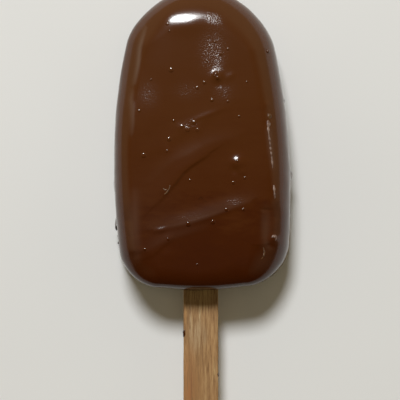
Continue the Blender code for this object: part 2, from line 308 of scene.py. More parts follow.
# Small soft lumps and dents on the face: where, how high and how wide, in millimetres
LUMPS = [
    (4.5, 16.6, 0.42, 1.5),
    (4.1, 17.3, 0.16, 0.6),
    (4.9, 16.0, 0.14, 0.6),
    (4.8, 14.4, -0.09, 1.0),
    (7.6, 16.2, 0.10, 1.1),
    (8.8, 16.9, 0.07, 0.9),
    (10.4, -7.7, 0.50, 1.8),
    (9.3, -9.6, -0.20, 1.2),
    (11.6, -10.2, 0.16, 0.9),
    (20.7, -28.7, 0.45, 1.0),
    (19.4, -30.8, -0.25, 0.9),
    (-9.4, -33.4, 0.12, 1.7),
    (-9.2, -28.8, 0.09, 1.6),
    (-17.2, -35.2, 0.22, 2.0),
    (-9.2, -4.0, 0.08, 1.1),
    (-5.8, 2.4, 0.07, 1.0),
    (-3.9, 1.8, 0.06, 0.9),
    (-0.6, 1.7, 0.06, 0.9),
    (18.6, 8.6, 0.16, 0.9),
]


# Raised lines of the face: the line, its height and the widths of its left and right flanks
FACE_RIDGES = [
    (CREASE, 0.42, 4.2, 0.55),
    (CREASE_TAIL, 0.12, 2.6, 1.4),
    (LONG_FOLD, 0.30, 2.8, 1.3),
    (LONG_FOLD, 0.03, 0.3, 0.3),
    (LONG_FOLD_SHINE, 0.17, 0.7, 0.6),
    (LOW_FLOW, 0.14, 2.4, 1.2),
    (UPPER_FLOW, 0.10, 3.0, 1.4),
    (MIDDLE_FLOW, 0.07, 3.2, 1.4),
    (HIGH_FLOW, 0.08, 0.9, 0.5),
    (LEFT_LINE, 0.12, 0.4, 0.9),
    (LEFT_LINE_LOW, 0.14, 0.5, 0.9),
    (LEFT_BAND, 0.08, 0.9, 0.9),
    (LOW_LEFT_FOLD, 0.16, 1.6, 0.7),
    (LOW_RIGHT_DENT, -0.25, 0.4, 0.4),
]
# Raised lines that are beaded: how strongly, over what length, and the seed
BEADED_RIDGES = [(RIGHT_LINE, 0.14, 0.6, 0.6), (RIGHT_LINE_LOW, 0.14, 0.6, 0.6)]
BEADING = 0.8
BEADING_SIZE = 2.4
BEADING_SEED = 11
# The shallow step at the right edge: how deep, where it starts, how long it is, where it fades out
STEP_DEPTH = 0.9
STEP_X = 17.4
STEP_SOFT = 1.3
STEP_Y = -25.5
STEP_LONG = 5.6
STEP_FADE_X = 18.6
STEP_FADE = 3.2

# Painted sheen: a paler colour laid along lines where the coating shows a grey sheen or reflection
# of its surroundings; the line, its strength and the widths of its left and right flanks
PAINTED_SHEEN_RIDGES = [
    (LEFT_LINE, 0.70, 0.35, 0.8),
    (LEFT_LINE_LOW, 0.50, 0.4, 0.8),
    (LEFT_BAND, 0.22, 1.3, 1.3),
    (RIGHT_LINE, 0.35, 0.7, 0.7),
    (RIGHT_FACET, 0.14, 1.5, 1.5),
    (LONG_FOLD, 0.20, 2.6, 0.5),
    (LOW_FLOW, 0.08, 2.0, 1.0),
    (MIDDLE_FLOW, 0.05, 1.6, 1.0),
]
# A wide faint patch of the same painted sheen: where, its strength and its width
PAINTED_SHEEN_PATCH = (-16.0, -21.0, 0.05, 10.0)

# Drips and lumps of the wall: where, how far they stand out and how wide they are
WALL_LUMPS = [
    (-25.2, -24.5, 9.0, 0.90, 1.3),
    (-24.9, -29.3, 8.0, 0.55, 0.9),
    (-24.7, -31.2, 8.0, 0.45, 0.8),
    (-25.3, -13.6, 10.0, 0.30, 2.0),
    (26.0, -10.6, 12.0, 0.75, 1.2),
    (24.2, 10.6, 12.0, 0.45, 0.7),
    (6.6, -43.6, 8.0, 0.35, 1.6),
    (-10.5, -43.2, 7.0, 0.30, 2.0),
]


def face_relief(x, y):
    """Flow lines, creases and lumps that the coating shows on the moulded face."""
    rise = np.zeros_like(x)
    for line in FACE_RIDGES:
        rise += ridge(x, y, *line)
    beads = 1.0 + BEADING * waves(x, y, np.zeros_like(x), BEADING_SIZE, BEADING_SEED)
    for line in BEADED_RIDGES:
        rise += ridge(x, y, *line) * beads
    for lump in LUMPS:
        rise += dome(x, y, *lump)
    step = 0.5 + 0.5 * np.tanh((x - STEP_X) / STEP_SOFT)
    along = np.exp(-(((y - STEP_Y) / STEP_LONG) ** 4))
    across = np.exp(-((np.maximum(x - STEP_FADE_X, 0.0) / STEP_FADE) ** 2))
    return rise - STEP_DEPTH * step * (along * across)


def painted_sheen_amount(x, y):
    """Where a paler colour paints the coating's sheen, from 0 to 1."""
    painted_sheen = np.zeros_like(x)
    for line in PAINTED_SHEEN_RIDGES:
        painted_sheen += ridge(x, y, *line)
    painted_sheen += dome(x, y, *PAINTED_SHEEN_PATCH)
    return np.clip(painted_sheen, 0.0, 1.0)


def face_height(x, y):
    """Height of the moulded face: it thins toward the tip and is slightly crowned."""
    share = np.clip((y - BAR_END) / (BAR_TIP - BAR_END), 0.0, 1.0)
    thick = THICK_END + (THICK_TIP - THICK_END) * share
    tip = np.clip((y - CROWN_TIP_START) / (BAR_TIP - CROWN_TIP_START), 0.0, 1.0)
    roll = np.clip((y - LEFT_ROLL_Y) / LEFT_ROLL_LONG, 0.0, 1.0)
    roll = roll * roll * (3.0 - 2.0 * roll)
    fall = roll * np.maximum(-x - LEFT_ROLL_X, 0.0) ** 2 / (2.0 * LEFT_ROLL_RADIUS)
    return thick + CROWN - (CROWN + CROWN_TIP * tip) * (x / LEFT_WIDTH) ** 2 - fall


def tip_bend(x, y, height):
    """Heights of the upper surface with the broad bend at the tip blended in."""
    beside = x - TIP_BEND_MIDDLE
    beyond = np.maximum(y - TIP_BEND_START - TIP_BEND_SLANT * beside, 0.0)
    down = beyond**2 / (2.0 * TIP_BEND_RADIUS) + beside**2 / (2.0 * TIP_BEND_RADIUS_ACROSS)
    far = ((x - TIP_BEND_X) / TIP_BEND_WIDE) ** 2 + ((y - TIP_BEND_Y) / TIP_BEND_LONG) ** 2
    share = np.where(height > THICK_END / 2.0, np.exp(-(far**1.5)), 0.0)
    return height + share * (TIP_BEND_TOP - down - height)


def wall_relief(x, y, height):
    """Drips and lumps of coating that stand out round the foot of the wall."""
    out = np.zeros_like(x)
    for at_x, at_y, at_z, size, width in WALL_LUMPS:
        gap = (x - at_x) ** 2 + (y - at_y) ** 2 + (height - at_z) ** 2
        out += size * np.exp(-gap / width**2)
    return out


def collar(x, y, height):
    """The thin lip of coating that closes round the stick."""
    wide = np.maximum(np.abs(x) - STICK_WIDTH / 2.0, 0.0)
    tall = np.maximum(np.abs(height - STICK_HEIGHT) - STICK_THICK / 2.0, 0.0)
    lip = COLLAR_HEIGHT * np.exp(-((np.hypot(wide, tall) / COLLAR_WIDTH) ** 2))
    return np.where(y < BAR_END + COLLAR_REACH, lip, 0.0)


def bar_grid():
    """Rings of points from the flat back, up the wall and over the shoulder to the face."""
    x, y, out_x, out_y = outline(AROUND)
    toward_tip = np.clip(out_y, 0.0, 1.0) ** 2
    tip_turn = np.clip(out_y, 0.0, 1.0)
    toward_end = np.clip(-out_y, 0.0, 1.0) ** 2
    corner = 2.0 * np.clip(-out_y, 0.0, 1.0) * np.abs(out_x)
    toward_right = np.clip(out_x, 0.0, 1.0) ** 2
    right = out_x > 0.0
    wall_top = WALL_TOP - WALL_TOP_TIP_DROP * toward_tip + WALL_TOP_END_RISE * toward_end
    wall_top = wall_top - WALL_TOP_RIGHT_DROP * toward_right
    wall_inset = WALL_INSET + WALL_INSET_TIP * toward_tip
    wall_inset = wall_inset + WALL_INSET_CORNER * corner + WALL_INSET_RIGHT * toward_right
    shoulder = np.where(right, SHOULDER_CORNER_RIGHT, SHOULDER_CORNER_LEFT) * corner
    shoulder = shoulder + SHOULDER + SHOULDER_LEAN * out_x
    shoulder = shoulder + SHOULDER_TIP * tip_turn + SHOULDER_END * toward_end
    rings = []
    for number in range(BACK_RINGS):
        turn = np.pi / 2.0 * number / BACK_RINGS
        inward = BACK_EDGE_WIDTH * (1.0 - np.sin(turn))
        height = np.full_like(x, FOOT_HEIGHT * (1.0 - np.cos(turn)))
        rings.append((x - out_x * inward, y - out_y * inward, height))
    for number in range(WALL_RINGS):
        share = number / WALL_RINGS
        height = FOOT_HEIGHT + (wall_top - FOOT_HEIGHT) * share
        inward = wall_inset * share
        rings.append((x - out_x * inward, y - out_y * inward, height))
    for number in range(SHOULDER_RINGS):
        turn = np.pi / 2.0 * number / (SHOULDER_RINGS - 1)
        inward = wall_inset + shoulder * (1.0 - np.cos(turn))
        at_x = x - out_x * inward
        at_y = y - out_y * inward
        rise = (face_height(at_x, at_y) - wall_top) * np.sin(turn)
        rings.append((at_x, at_y, wall_top + rise))
    rim_x, rim_y = rings[-1][0], rings[-1][1]
    spine_y = FACE_SPINE * (rim_y + np.roll(rim_y[::-1], 1)) / 2.0
    for number in range(1, FACE_RINGS):
        share = number / (FACE_RINGS - 0.5)
        at_x = rim_x * (1.0 - share)
        at_y = rim_y * (1.0 - share) + spine_y * share
        rings.append((at_x, at_y, face_height(at_x, at_y)))
    grid = np.array(rings).transpose(0, 2, 1)
    grid[..., 2] = tip_bend(grid[..., 0], grid[..., 1], grid[..., 2])
    return grid


def grid_directions(grid):
    """Outward direction at each point of the grid of rings."""
    around = np.roll(grid, -1, axis=1) - np.roll(grid, 1, axis=1)
    across = np.gradient(grid, axis=0)
    out = np.cross(around, across)
    length = np.linalg.norm(out, axis=2, keepdims=True)
    return out / np.maximum(length, 1e-9)


def textured_grid():
    """The grid of rings with its relief pushed out along the surface."""
    grid = bar_grid()
    out = grid_directions(grid)
    x, y, z = grid[..., 0], grid[..., 1], grid[..., 2]
    facing_up = np.clip((out[..., 2] - 0.1) / 0.5, 0.0, 1.0)
    side = np.clip(1.0 - out[..., 2] * 1.4, 0.0, 1.0) * np.clip(z / FOOT_HEIGHT, 0.0, 1.0)
    push = face_relief(x, y) * facing_up
    push += wall_relief(x, y, z) * side
    push += collar(x, y, z) * side
    for height, size, seed in BAR_SWELLS:
        push += height * waves(x, y, z, size, seed) * np.clip(z / SWELL_START, 0.0, 1.0)
    height, size, seed = WALL_SWELL
    push += height * waves(x, y, z, size, seed) * side
    return grid + out * push[..., None]


def bar_mesh():
    """The rings joined into one closed skin: a flat back below and a zipped face above."""
    grid = textured_grid()
    rings, around = grid.shape[:2]
    number = np.arange(rings * around).reshape(rings, around)
    after = np.roll(number, -1, axis=1)
    quads = np.stack([number[:-1], after[:-1], after[1:], number[1:]], axis=-1).reshape(-1, 4)
    faces = quads.tolist()
    faces.append(number[0][::-1].tolist())
    last = number[-1]
    half = around // 2
    faces.append([int(last[0]), int(last[1]), int(last[-1])])
    for step in range(1, half - 1):
        ahead, mirror = step + 1, around - step
        faces.append([int(last[spot]) for spot in (step, ahead, mirror - 1, mirror)])
    faces.append([int(last[half - 1]), int(last[half]), int(last[half + 1])])
    points = grid.reshape(-1, 3) + np.array([BAR_SHIFT_X, BAR_SHIFT_Y, 0.0])
    mesh = skin_of("chocolate_skin", points, faces)
    # share of the painted sheen colour at each point
    painted_sheen = mesh.attributes.new("painted_sheen", "FLOAT", "POINT")
    painted_sheen.data.foreach_set("value", painted_sheen_amount(grid[..., 0], grid[..., 1]).ravel())
    return mesh


# Air bubbles: where in the plan, and how wide and high each stands, in millimetres
BUBBLES = [
    (-8.3, 18.45, 0.80, 0.21),
    (-1.0, 13.45, 0.62, 0.17),
    (1.0, 14.9, 0.62, 0.17),
    (1.8, 20.9, 0.45, 0.15),
    (-9.4, 31.4, 0.60, 0.16),
    (-8.8, 29.3, 0.36, 0.12),
    (-13.9, 15.7, 0.36, 0.12),
    (-17.2, 7.0, 0.55, 0.16),
    (-1.9, 3.75, 0.74, 0.20),
    (-7.6, 4.2, 0.50, 0.16),
    (-5.2, 2.6, 0.70, 0.10),
    (-3.7, 1.9, 0.86, 0.10),
    (-1.0, 1.6, 0.60, 0.08),
    (-8.9, -0.95, 0.76, 0.20),
    (-9.5, -4.3, 0.50, 0.10),
    (-16.0, -5.5, 0.80, 0.20),
    (-3.1, -12.5, 0.45, 0.11),
    (-3.5, -24.75, 0.74, 0.22),
    (3.4, -24.1, 0.72, 0.21),
    (7.1, -20.6, 0.60, 0.17),
    (11.9, -20.6, 0.56, 0.17),
    (9.1, -13.1, 0.60, 0.17),
    (12.3, -11.8, 0.52, 0.17),
    (3.1, 10.0, 0.66, 0.20),
    (7.6, 9.6, 0.55, 0.16),
    (10.7, 5.4, 0.48, 0.15),
    (7.6, 24.3, 0.50, 0.15),
    (5.6, 22.9, 0.50, 0.15),
    (3.9, 26.2, 0.42, 0.13),
    (12.9, 15.1, 0.42, 0.14),
    (18.9, 24.0, 0.60, 0.25),
    (-15.7, -31.7, 0.55, 0.16),
    (-9.1, -28.9, 0.50, 0.09),
    (-1.0, -36.0, 0.42, 0.13),
    (10.2, -7.0, 0.56, 0.17),
    (4.3, 17.4, 0.60, 0.18),
    (4.6, 16.2, 0.56, 0.18),
    (3.9, 16.7, 0.40, 0.15),
]
BUBBLE_SINK = 0.05


def face_spots():
    """Points of the upper surface and their outward directions."""
    grid = textured_grid()
    first = BACK_RINGS + WALL_RINGS
    return grid[first:].reshape(-1, 3), grid_directions(grid)[first:].reshape(-1, 3)


def nearest_spot(spots, x, y):
    """The number of the spot that is nearest in the plan."""
    return int(np.argmin((spots[:, 0] - x) ** 2 + (spots[:, 1] - y) ** 2))


def mesh_of(bm, name):
    """A smooth mesh from a bmesh in millimetres, which is freed."""
    bmesh.ops.scale(bm, vec=(MM, MM, MM), verts=bm.verts)
    mesh = bpy.data.meshes.new(name)
    bm.to_mesh(mesh)
    bm.free()
    mesh.shade_smooth()
    return mesh


def add_ball(bm, place, half):
    """A round ball in the bmesh, stretched to half its width, length and height."""
    shape = place @ Matrix.Diagonal((*half, 1.0))
    bmesh.ops.create_icosphere(bm, subdivisions=BALL_DETAIL, radius=1.0, matrix=shape)


def bubble_mesh(spots, ways):
    """Flattened domes that stand on the coated face, all in one mesh."""
    bm = bmesh.new()
    for at_x, at_y, wide, high in BUBBLES:
        nearest = nearest_spot(spots, at_x, at_y)
        height = spots[nearest, 2] - BUBBLE_SINK
        lean = Vector((0.0, 0.0, 1.0)).rotation_difference(Vector(ways[nearest]))
        place = Matrix.Translation((at_x + BAR_SHIFT_X, at_y + BAR_SHIFT_Y, height))
        add_ball(bm, place @ lean.to_matrix().to_4x4(), (wide, wide, high + BUBBLE_SINK))
    return mesh_of(bm, "coating_bubbles")


# Thin raised strands of coating: their line in the plan, half width, height and beading
GOLDEN_STRANDS = [
    (WRINKLE, 0.22, 0.13, 0.3),
    (WRINKLE_LOW, 0.17, 0.10, 0.3),
    (LOW_RIGHT_CURL, 0.28, 0.14, 0.2),
    (RIGHT_LINE_END, 0.50, 0.18, 0.4),
]
# These strands are coloured pale as a painted highlight on the beaded right line and the bump
STRANDS_PAINTED_HIGHLIGHT = [
    (RIGHT_LINE, 0.28, 0.20, 0.6),
    (RIGHT_LINE_TOP, 0.50, 0.20, 0.6),
    (RIGHT_LINE_LOW, 0.34, 0.20, 0.6),
    (RIGHT_BUMP, 0.42, 0.20, 0.3),
]
STRAND_STEP = 0.12
STRAND_SIDES = 12
STRAND_SEED = 31
BEAD_LENGTH = 1.1
# A strand's size runs between these shares of its half width, and it tapers at both ends
BEAD_SIZES = (0.15, 1.9)
TAPER_ENDS = (0.01, 0.99)
# The pale strand at the foot, which paints the bright reflection line along the bar's edge: its
# gap to the outline, then its half width, height and beading
EDGE_GAP = 0.1
EDGE_SHAPE = (0.32, 0.30, 0.15)
# Runs of the pale edge along the foot: from and to across the bar, and below which point along it
EDGE_RUNS = [(-19.5, -3.5, -38.5), (14.0, 27.0, -23.5)]


def edge_line(from_x, to_x, below_y):
    """A run of the bar's foot along the plan outline, a little outside it."""
    x, y, out_x, out_y = outline(AROUND)
    keep = (x > from_x) & (x < to_x) & (y < below_y)
    return list(zip(x[keep] + EDGE_GAP * out_x[keep], y[keep] + EDGE_GAP * out_y[keep]))


def strand_mesh(name, strands, spots, ways):
    """Tapered strands that lie on the coated face, all in one mesh."""
    points, faces = [], []
    around = np.linspace(0.0, 2.0 * np.pi, STRAND_SIDES, endpoint=False)
    for line, wide, high, beading in strands:
        x, y = np.array(line).T
        length = float(np.hypot(np.diff(x), np.diff(y)).sum())
        steps = int(length / STRAND_STEP)
        x, y = even_points(x, y, steps)
        share = np.linspace(0.0, 1.0, steps)
        beads = waves(x * 0.0, share * length, x * 0.0, BEAD_LENGTH, STRAND_SEED)
        taper = np.sqrt(np.sin(np.pi * np.clip(share, *TAPER_ENDS)))
        size = taper * np.clip(1.0 + beading * beads, *BEAD_SIZES)
        first = len(points)
        for number in range(steps):
            nearest = nearest_spot(spots, x[number], y[number])
            up = Vector(ways[nearest])
            ahead = min(number + 1, steps - 1)
            behind = max(number - 1, 0)
            along = Vector((x[ahead] - x[behind], y[ahead] - y[behind], 0.0))
            across = along.cross(up).normalized()
            middle = Vector((x[number], y[number], spots[nearest, 2]))
            for angle in around:
                offset = across * (wide * np.cos(angle)) + up * (high * np.sin(angle))
                points.append(middle + offset * size[number])
        for number in range(steps - 1):
            row = first + number * STRAND_SIDES
            for side in range(STRAND_SIDES):
                here, after = row + side, row + (side + 1) % STRAND_SIDES
                faces.append((here, after, after + STRAND_SIDES, here + STRAND_SIDES))
        faces.append(tuple(range(first + STRAND_SIDES - 1, first - 1, -1)))
        faces.append(tuple(range(len(points) - STRAND_SIDES, len(points))))
    shift = np.array([BAR_SHIFT_X, BAR_SHIFT_Y, 0.0])
    return skin_of(name, np.array(points) + shift, faces)


def stick_mesh():
    """The flat stick: softened long edges, round ends, and grain grooves."""
    length = STICK_IN + STICK_OUT
    half_long, half_wide, half_thick = length / 2.0, STICK_WIDTH / 2.0, STICK_THICK / 2.0
    turn = np.linspace(0.0, np.pi / 2.0, STICK_EDGE_STEPS)
    edge_x = half_wide - STICK_EDGE * (1.0 - np.cos(turn))
    edge_z = half_thick - STICK_EDGE * (1.0 - np.sin(turn))
    top_x = np.linspace(edge_x[-1], -edge_x[-1], STICK_ACROSS)[1:-1]
    side_x = np.concatenate([edge_x, top_x, -edge_x[::-1]])
    side_z = np.concatenate([edge_z, np.full_like(top_x, half_thick), edge_z[::-1]])
    section_x = np.concatenate([side_x, -side_x])
    section_z = np.concatenate([side_z, -side_z])
    round_end = np.linspace(STICK_END_START, np.pi / 2.0, STICK_END_STEPS)
    end_y = half_long - half_wide * (1.0 - np.cos(round_end))
    middle = np.linspace(end_y[-1], -end_y[-1], STICK_ALONG)[1:-1]
    ring_y = np.concatenate([end_y, middle, -end_y[::-1]])
    ring_wide = np.concatenate([np.sin(round_end), np.ones_like(middle), np.sin(round_end)[::-1]])
    x = section_x[None, :] * ring_wide[:, None]
    y = np.repeat(ring_y[:, None], len(section_x), axis=1)
    z = np.repeat(section_z[None, :], len(ring_y), axis=0)
    middle_y = BAR_END - STICK_OUT + half_long
    local_y = y + middle_y
    (drawn, size, seed), (fine_drawn, fine_size, fine_seed) = GRAIN_COARSE, GRAIN_FINE
    grain = waves(x, local_y * drawn, z, size, seed)
    grain += GRAIN_FINE_SHARE * waves(x, local_y * fine_drawn, z, fine_size, fine_seed)
    flat = np.clip((half_wide - np.abs(x)) / GRAIN_FADE, 0.0, 1.0)
    z += np.sign(z) * STICK_GRAIN * grain * flat
    wavy = WAVER * waves(x * 0.0, local_y, z * 0.0, WAVER_LENGTH, WAVER_SEED)
    x += wavy * np.clip((np.abs(x) - WAVER_FROM) / WAVER_FADE, 0.0, 1.0)
    points = np.stack([x + BAR_SHIFT_X, local_y + BAR_SHIFT_Y, z + STICK_HEIGHT], axis=-1)
    rings, around = x.shape
    number = np.arange(rings * around).reshape(rings, around)
    after = np.roll(number, -1, axis=1)
    quads = np.stack([number[:-1], after[:-1], after[1:], number[1:]], axis=-1).reshape(-1, 4)
    faces = quads.tolist()
    faces.append(number[0][::-1].tolist())
    faces.append(number[-1].tolist())
    return skin_of("wood_stick", points.reshape(-1, 3), faces)


def speck_mesh(name, specks):
    """Specks of coating, all in one mesh: where each is and half its width, length and height."""
    bm = bmesh.new()
    for at_x, at_y, at_z, wide, long, tall in specks:
        place = Matrix.Translation((at_x + BAR_SHIFT_X, at_y + BAR_SHIFT_Y, at_z))
        add_ball(bm, place, (wide, long, tall))
    for vert in bm.verts:
        swell = float(waves(*vert.co, SPECK_SWELL_SIZE, SPECK_SEED))
        vert.co.x += SPECK_SWELL[0] * swell
        vert.co.y += SPECK_SWELL[1] * swell
    return mesh_of(bm, name)


def skin_of(name, points, faces):
    """A smooth mesh with outward faces from points in millimetres."""
    mesh = bpy.data.meshes.new(name)
    mesh.from_pydata((points * MM).tolist(), [], faces)
    mesh.validate()
    bm = bmesh.new()
    bm.from_mesh(mesh)
    bmesh.ops.recalc_face_normals(bm, faces=bm.faces)
    bm.to_mesh(mesh)
    bm.free()
    mesh.shade_smooth()
    return mesh


def add(mesh, name):
    """A new object of the scene with the mesh."""
    made = bpy.data.objects.new(name, mesh)
    bpy.context.scene.collection.objects.link(made)
    return made


def node_material(name):
    """A new material, its node tree and its shader."""
    made = bpy.data.materials.new(name)
    made.use_nodes = True
    tree = made.node_tree
    return made, tree, tree.nodes["Principled BSDF"]


def new_node(tree, kind, **values):
    """A new node with the settings or input values that are named."""
    node = tree.nodes.new(kind)
    for key, value in values.items():
        if hasattr(node, key):
            setattr(node, key, value)
        else:
            node.inputs[key].default_value = value
    return node


def noise(tree, source, scale, detail, roughness=0.5):
    """Noise read at the source's points."""
    values = {"Scale": scale, "Detail": detail, "Roughness": roughness}
    node = new_node(tree, "ShaderNodeTexNoise", **values)
    tree.links.new(source, node.inputs["Vector"])
    return node.outputs["Fac"]


def combined(tree, operation, *sources):
    """The result of a Math node, fed in turn with numbers or other nodes' outputs."""
    node = new_node(tree, "ShaderNodeMath", operation=operation)
    for socket, source in zip(node.inputs, sources):
        if isinstance(source, float):
            socket.default_value = source
        else:
            tree.links.new(source, socket)
    return node.outputs["Value"]


def mapped(tree, source, span, onto=(0.0, 1.0), smooth=False):
    """The source's values from one span mapped onto another."""
    kind = "SMOOTHSTEP" if smooth else "LINEAR"
    node = new_node(tree, "ShaderNodeMapRange", interpolation_type=kind)
    for name, value in zip(("From Min", "From Max", "To Min", "To Max"), (*span, *onto)):
        node.inputs[name].default_value = value
    tree.links.new(source, node.inputs["Value"])
    return node.outputs["Result"]


def painted_over(tree, amount, color, over):
    """A colour output with a fixed colour laid over it, as strongly as the amount says."""
    node = new_node(tree, "ShaderNodeMix", data_type="RGBA")
    tree.links.new(amount, node.inputs["Factor"])
    tree.links.new(color, node.inputs["A"])
    node.inputs["B"].default_value = (*over, 1.0)
    return node.outputs["Result"]


def ramp_of(tree, source, stops):
    """The source's values turned into colours by the stops."""
    node = tree.nodes.new("ShaderNodeValToRGB")
    ramp = node.color_ramp
    while len(ramp.elements) < len(stops):
        ramp.elements.new(0.5)
    for element, (at, color) in zip(ramp.elements, stops):
        element.position = at
        element.color = (*color, 1.0)
    tree.links.new(source, node.inputs["Fac"])
    return node.outputs["Color"]


def stretched(tree, source, scale, turn=0.0):
    """The source's points scaled, and turned about the upright axis."""
    node = new_node(tree, "ShaderNodeMapping")
    node.inputs["Rotation"].default_value = (0.0, 0.0, turn)
    node.inputs["Scale"].default_value = scale
    tree.links.new(source, node.inputs["Vector"])
    return node.outputs["Vector"]


def bumped(tree, source, strength, distance):
    """A bump by the source's values. Its strength is a number or another node's output."""
    node = new_node(tree, "ShaderNodeBump", Distance=distance)
    if isinstance(strength, float):
        node.inputs["Strength"].default_value = strength
    else:
        tree.links.new(strength, node.inputs["Strength"])
    tree.links.new(source, node.inputs["Height"])
    return node


# A patch fades from its middle to its edge between these shares of its half size
PATCH_SPAN = (1.25, 0.1)


def patch(tree, where, middle, half, strength):
    """A soft round or long patch: its strength in the middle, nothing outside."""
    shape = new_node(tree, "ShaderNodeMapping", vector_type="TEXTURE")
    at = ((middle[0] + BAR_SHIFT_X) * MM, (middle[1] + BAR_SHIFT_Y) * MM, middle[2] * MM)
    shape.inputs["Location"].default_value = at
    shape.inputs["Scale"].default_value = [side * MM for side in half]
    tree.links.new(where, shape.inputs["Vector"])
    far = new_node(tree, "ShaderNodeVectorMath", operation="LENGTH")
    tree.links.new(shape.outputs["Vector"], far.inputs[0])
    return mapped(tree, far.outputs["Value"], PATCH_SPAN, (0.0, strength), smooth=True)


# Patches where tiny pits in the coating glitter: middle, half width, half length and strength
PATCHES = [
    (3.4, 23.6, 6.0, 9.0, 0.42),
    (4.6, 21.2, 3.2, 5.5, 0.55),
    (4.2, 33.0, 3.6, 2.8, 0.5),
    (-14.2, 11.3, 4.0, 5.0, 0.28),
    (-3.6, 12.7, 6.0, 4.0, 0.30),
    (6.6, 12.6, 5.0, 4.5, 0.33),
    (-2.7, 2.9, 4.5, 2.5, 0.3),
    (10.2, -18.6, 4.2, 2.2, 0.4),
    (-2.0, -22.8, 10.0, 1.8, 0.2),
    (19.6, -1.0, 0.8, 9.0, 0.6),
]
PATCH_HEIGHT = 23.0
PATCH_HALF_HEIGHT = 20.0

# The coating's tone goes from dark to lighter between these two places along the bar, in metres
TONE_SPAN = (-0.012, 0.070)
TONE_STOPS = [
    (0.15, (0.044, 0.0084, 0.0007)),
    (0.33, (0.050, 0.0100, 0.0006)),
    (0.42, (0.062, 0.0150, 0.0018)),
    (0.55, (0.066, 0.0172, 0.0026)),
    (0.78, (0.074, 0.0215, 0.0038)),
    (1.0, (0.076, 0.0235, 0.0055)),
]
# Soft mottling and slanting streaks shift that tone by these shares
MOTTLE_SHARE = 0.35
STREAK_SHARE = 0.3
STREAK_MEAN = 0.15
STREAK_SCALE = (0.35, 1.0, 1.0)
STREAK_TURN = -0.6
# The paler colour that paints the coating's sheen
PAINTED_SHEEN_COLOR = (0.138, 0.083, 0.056)
# Roughness of the plain coating and in the middle of the strongest patch of pits
COATING_ROUGHNESS = (0.13, 0.24)
COATING_IOR = 1.46


def chocolate_material():
    """Glossy brown coating, mottled, with a paler colour painted on as sheen in places and patches
    of tiny pits.
    """
    made, tree, surface = node_material("chocolate_coating")
    where = new_node(tree, "ShaderNodeTexCoord").outputs["Object"]
    axes = new_node(tree, "ShaderNodeSeparateXYZ")
    tree.links.new(where, axes.inputs["Vector"])
    level = mapped(tree, axes.outputs["Y"], TONE_SPAN)
    soft = noise(tree, where, scale=55.0, detail=3.0)
    level = combined(tree, "MULTIPLY_ADD", soft, MOTTLE_SHARE, level)
    drawn = stretched(tree, where, STREAK_SCALE, STREAK_TURN)
    streaks = noise(tree, drawn, scale=520.0, detail=4.0, roughness=0.6)
    level = combined(tree, "MULTIPLY_ADD", streaks, STREAK_SHARE, level)
    tone = ramp_of(tree, combined(tree, "SUBTRACT", level, STREAK_MEAN), TONE_STOPS)
    # lay the painted sheen colour over the tone
    painted_sheen = new_node(tree, "ShaderNodeAttribute", attribute_name="painted_sheen")
    with_painted_sheen = painted_over(tree, painted_sheen.outputs["Fac"], tone, PAINTED_SHEEN_COLOR)
    tree.links.new(with_painted_sheen, surface.inputs["Base Color"])
    patches = None
    for at_x, at_y, wide, long, strength in PATCHES:
        middle, half = (at_x, at_y, PATCH_HEIGHT), (wide, long, PATCH_HALF_HEIGHT)
        near = patch(tree, where, middle, half, strength)
        patches = near if patches is None else combined(tree, "MAXIMUM", patches, near)
    fine = noise(tree, where, scale=2600.0, detail=2.0, roughness=0.6)
    bump = bumped(tree, fine, strength=0.12, distance=0.00008)
    pits = noise(tree, where, scale=2700.0, detail=2.0)
    glitter = bumped(tree, pits, strength=patches, distance=0.0002)
    tree.links.new(bump.outputs["Normal"], glitter.inputs["Normal"])
    tree.links.new(glitter.outputs["Normal"], surface.inputs["Normal"])
    dull = mapped(tree, patches, (0.0, 1.0), COATING_ROUGHNESS)
    tree.links.new(dull, surface.inputs["Roughness"])
    surface.inputs["IOR"].default_value = COATING_IOR
    return made


# The dark and the light tone of each loose bit of coating
LOOSE_TONES = {
    # the drips are painted dark as the shade and dark reflection of their rounded sides
    "drips_painted_dark": ((0.010, 0.004, 0.0015), (0.018, 0.008, 0.003)),
    "golden_strands": ((0.075, 0.030, 0.008), (0.125, 0.058, 0.018)),
    # the pale strands' tones are a painted highlight
    "strands_painted_highlight": ((0.110, 0.054, 0.036), (0.230, 0.150, 0.115)),
    # the foot edge's tones are a painted reflection
    "foot_edge_painted_reflection": ((0.34, 0.28, 0.22), (0.50, 0.43, 0.35)),
}
LOOSE_ROUGHNESS = 0.38


def loose_material(name):
    """Coating that is duller and finely mottled between the two tones of that name; the drips'
    tones are painted shade, the pale strands' a painted highlight and the foot edge's a painted
    reflection.
    """
    made, tree, surface = node_material(name)
    where = new_node(tree, "ShaderNodeTexCoord").outputs["Object"]
    dark, light = LOOSE_TONES[name]
    soft = noise(tree, where, scale=900.0, detail=2.0)
    tone = ramp_of(tree, soft, [(0.38, dark), (0.6, light)])
    tree.links.new(tone, surface.inputs["Base Color"])
    surface.inputs["Roughness"].default_value = LOOSE_ROUGHNESS
    surface.inputs["IOR"].default_value = COATING_IOR
    return made


